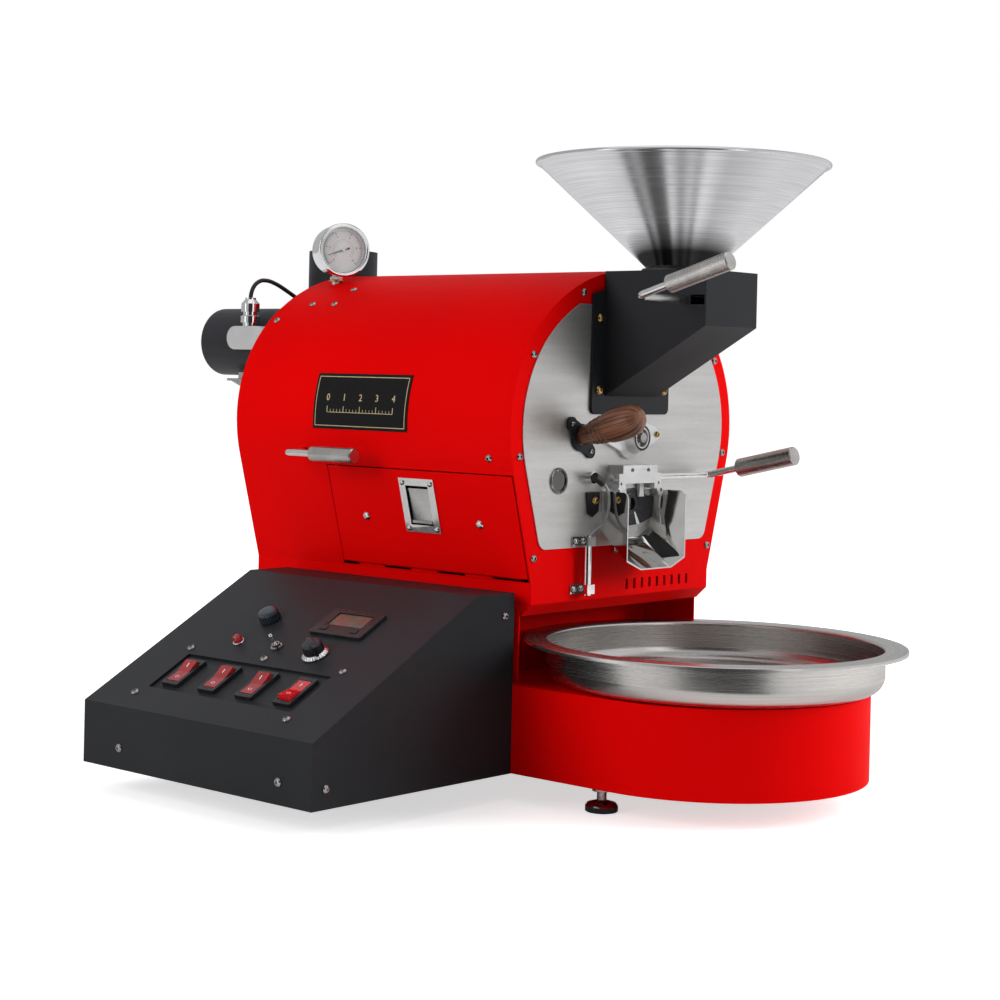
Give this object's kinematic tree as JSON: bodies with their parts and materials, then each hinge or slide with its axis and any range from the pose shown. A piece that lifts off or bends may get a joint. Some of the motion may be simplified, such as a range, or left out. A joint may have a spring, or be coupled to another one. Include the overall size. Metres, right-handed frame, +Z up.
{
  "type": "drum coffee roaster",
  "caption": "Small gas drum coffee roaster with a cone hopper, bent levers, a wooden trier, a polished discharge spout, a round cooling pan and a sloped side control box.",
  "frame": {"origin": "middle of the footprint, on the surface that the levelling feet stand on", "axes": "+X to the right of the machine seen from the front, -Y out of the front, +Z up"},
  "size_m": [0.6642, 0.8866, 0.6801],
  "materials": {
    "red_paint": "satin powder coat",
    "black_paint": "fine textured powder coat",
    "brushed_steel": "brushed",
    "spun_steel": "spun and polished",
    "mirror_steel": "mirror polished",
    "machined_steel": "fine turned",
    "plated_screws": "bright plated",
    "cast_aluminium": "satin",
    "dark_steel": "heat darkened",
    "galvanised": "dull",
    "brass": "satin",
    "walnut": "oiled, striped grain",
    "black_plastic": "satin",
    "red_plastic": "translucent gloss",
    "glass": "clear",
    "rubber": "matte",
    "grey_cable": "satin"
  },
  "bodies": {
    "machine": {"base_shell": "red_paint", "levelling_feet": "plated_screws", "front_panel": "red_paint", "face_plate": "brushed_steel", "body_wrap": "red_paint", "rear_panel": "red_paint", "body_floor": "galvanised", "hopper": "spun_steel", "feed_chute": "black_paint", "discharge_spout": "mirror_steel", "hinge_block": "cast_aluminium", "trier_flange": "black_paint", "view_port": "plated_screws", "shaft_bearings": "cast_aluminium", "drum_casing": "dark_steel", "drive_belt": "rubber", "drum_motor": "black_paint", "motor_bracket": "brushed_steel", "terminal_box": "cast_aluminium", "motor_lead": "rubber", "exhaust_blower": "black_paint", "exhaust_stack": "black_paint", "gas_burner": "dark_steel", "gas_pipe": "brass", "airflow_valve": "galvanised", "airflow_plate": "black_paint", "control_housing": "black_paint", "switch_plate": "black_paint", "pilot_lamp": "red_plastic", "controller": "black_plastic", "gauge_case": "mirror_steel", "gauge_lens": "glass", "bean_probe": "machined_steel", "probe_lead": "grey_cable", "fasteners": "plated_screws"},
    "drum": {"roasting_drum": "dark_steel", "drum_shaft": "dark_steel"},
    "motor_rotor": {"motor_pulley": "cast_aluminium"},
    "fan": {"fan_wheel": "galvanised"},
    "door": {"discharge_door": "brushed_steel", "door_lever": "machined_steel"},
    "gate": {"hopper_gate": "machined_steel"},
    "trier": {"trier_handle": "walnut", "trier_scoop": "machined_steel"},
    "airflow_control": {"airflow_lever": "machined_steel"},
    "side_door": {"access_door": "red_paint", "latch_plate": "plated_screws"},
    "paddle": {"latch_paddle": "plated_screws"},
    "pan": {"cooling_pan": "spun_steel", "pan_screen": "spun_steel"},
    "switch_1": {"rocker_1": "red_plastic"},
    "switch_2": {"rocker_2": "red_plastic"},
    "switch_3": {"rocker_3": "red_plastic"},
    "switch_4": {"rocker_4": "red_plastic"},
    "toggle": {"toggle_bat": "plated_screws"},
    "selector": {"pointer_knob": "black_plastic"},
    "dial": {"round_knob": "black_plastic"},
    "key_1": {"controller_button_1": "black_plastic"},
    "key_2": {"controller_button_2": "black_plastic"},
    "needle": {"gauge_needle": "black_plastic"}
  },
  "joints": [
    {"name": "drum_spin", "type": "hinge", "parent": "machine", "child": "drum", "pos_m": [0.1291, -0.01675, 0.38], "axis": [0, 1, 0], "continuous": true},
    {"name": "motor_spin", "type": "hinge", "parent": "machine", "child": "motor_rotor", "pos_m": [0.0311, 0.26925, 0.479], "axis": [0, 1, 0], "continuous": true},
    {"name": "fan_spin", "type": "hinge", "parent": "machine", "child": "fan", "pos_m": [0.1941, 0.35325, 0.258], "axis": [0, 1, 0], "continuous": true},
    {"name": "door_swing", "type": "hinge", "parent": "machine", "child": "door", "pos_m": [0.1291, -0.12875, 0.336], "axis": [-1, 0, 0], "range_deg": [0, 50]},
    {"name": "gate_turn", "type": "hinge", "parent": "machine", "child": "gate", "pos_m": [0.1291, -0.22475, 0.529], "axis": [-1, 0, 0], "range_deg": [0, 45]},
    {"name": "trier_slide", "type": "slide", "parent": "machine", "child": "trier", "axis": [0, -0.9578, 0.2874], "range_m": [0, 0.06]},
    {"name": "airflow_turn", "type": "hinge", "parent": "machine", "child": "airflow_control", "pos_m": [-0.0209, 0.19125, 0.3534], "axis": [-1, 0, 0], "range_deg": [0, 180]},
    {"name": "side_door_swing", "type": "hinge", "parent": "machine", "child": "side_door", "pos_m": [-0.02633, 0.02325, 0.233], "axis": [0, -1, 0], "range_deg": [0, 65]},
    {"name": "paddle_pull", "type": "hinge", "parent": "side_door", "child": "paddle", "pos_m": [-0.05256, 0.02525, 0.3185], "axis": [0, 1, 0], "range_deg": [0, 25], "stiffness_Nm_per_rad": 0.08},
    {"name": "pan_lift", "type": "slide", "parent": "machine", "child": "pan", "axis": [0, 0, 1], "range_m": [0, 0.02]},
    {"name": "switch_1_rock", "type": "hinge", "parent": "machine", "child": "switch_1", "pos_m": [-0.26755, -0.01415, 0.12379], "axis": [0, 1, 0], "range_deg": [-16, 0]},
    {"name": "switch_2_rock", "type": "hinge", "parent": "machine", "child": "switch_2", "pos_m": [-0.26755, 0.04215, 0.12379], "axis": [0, 1, 0], "range_deg": [0, 16]},
    {"name": "switch_3_rock", "type": "hinge", "parent": "machine", "child": "switch_3", "pos_m": [-0.26755, 0.09845, 0.12379], "axis": [0, 1, 0], "range_deg": [0, 16]},
    {"name": "switch_4_rock", "type": "hinge", "parent": "machine", "child": "switch_4", "pos_m": [-0.26755, 0.15475, 0.12379], "axis": [0, 1, 0], "range_deg": [0, 16]},
    {"name": "toggle_flip", "type": "hinge", "parent": "machine", "child": "toggle", "pos_m": [-0.21494, 0.07225, 0.15833], "axis": [0.8807, 0, 0.4737], "range_deg": [0, 28]},
    {"name": "selector_turn", "type": "hinge", "parent": "machine", "child": "selector", "pos_m": [-0.21528, 0.01275, 0.15474], "axis": [-0.4737, 0, 0.8807], "range_deg": [-60, 60]},
    {"name": "dial_turn", "type": "hinge", "parent": "machine", "child": "dial", "pos_m": [-0.17432, 0.12495, 0.17677], "axis": [-0.4737, 0, 0.8807], "range_deg": [-150, 150]},
    {"name": "key_1_press", "type": "slide", "parent": "machine", "child": "key_1", "axis": [0.4737, 0, -0.8807], "range_m": [0, 0.0008], "stiffness_N_per_m": 300},
    {"name": "key_2_press", "type": "slide", "parent": "machine", "child": "key_2", "axis": [0.4737, 0, -0.8807], "range_m": [0, 0.0008], "stiffness_N_per_m": 300},
    {"name": "needle_turn", "type": "hinge", "parent": "machine", "child": "needle", "pos_m": [0.04726, 0.24998, 0.59], "axis": [0.4384, 0.8988, 0], "range_deg": [-20, 230], "stiffness_Nm_per_rad": 0.002}
  ],
  "couplings": [
    {"joint": "motor_spin", "follows": "drum_spin", "ratio": 2.4}
  ]
}
